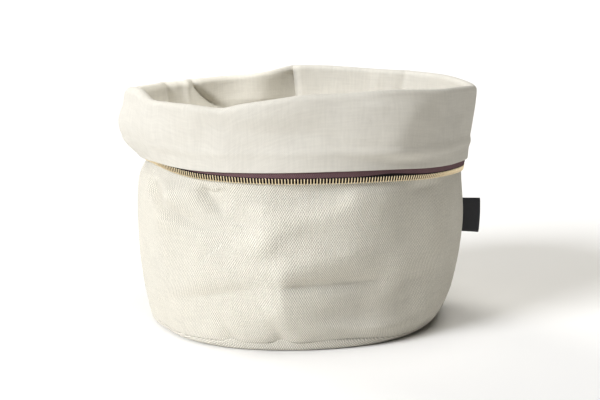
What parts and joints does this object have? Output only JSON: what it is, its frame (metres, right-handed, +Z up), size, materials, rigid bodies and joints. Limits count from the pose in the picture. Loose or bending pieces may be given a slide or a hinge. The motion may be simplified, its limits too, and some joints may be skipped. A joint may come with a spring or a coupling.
{
  "type": "bread warmer bag",
  "caption": "Round soft fabric bag standing open on a flat base, its lined top folded down as a cuff, with half of an open metal zip along the cuff's edge.",
  "frame": {"origin": "middle of the base's underside, on the surface that the bag stands on", "axes": "+Z up, -Y towards the pictured front, +X towards the right side seam with the label"},
  "size_m": [0.2541, 0.2459, 0.1712],
  "materials": {
    "canvas": "coarse unbleached plain-weave cotton canvas",
    "lining": "fine smooth unbleached cotton",
    "zip_tape": "dark plum-brown woven tape with a herringbone",
    "zip_teeth": "lightly tarnished brass",
    "label": "black woven ribbon, bare"
  },
  "bodies": {
    "root": {"outer_base": "canvas", "outer_wall_front": "canvas", "outer_wall_back": "canvas", "lining_base": "lining", "lining_front": "lining", "lining_back": "lining", "zip_tape_front": "zip_tape", "zip_tape_back": "zip_tape", "zip_teeth_front": "zip_teeth", "zip_teeth_back": "zip_teeth", "label": "label"}
  },
  "joints": []
}
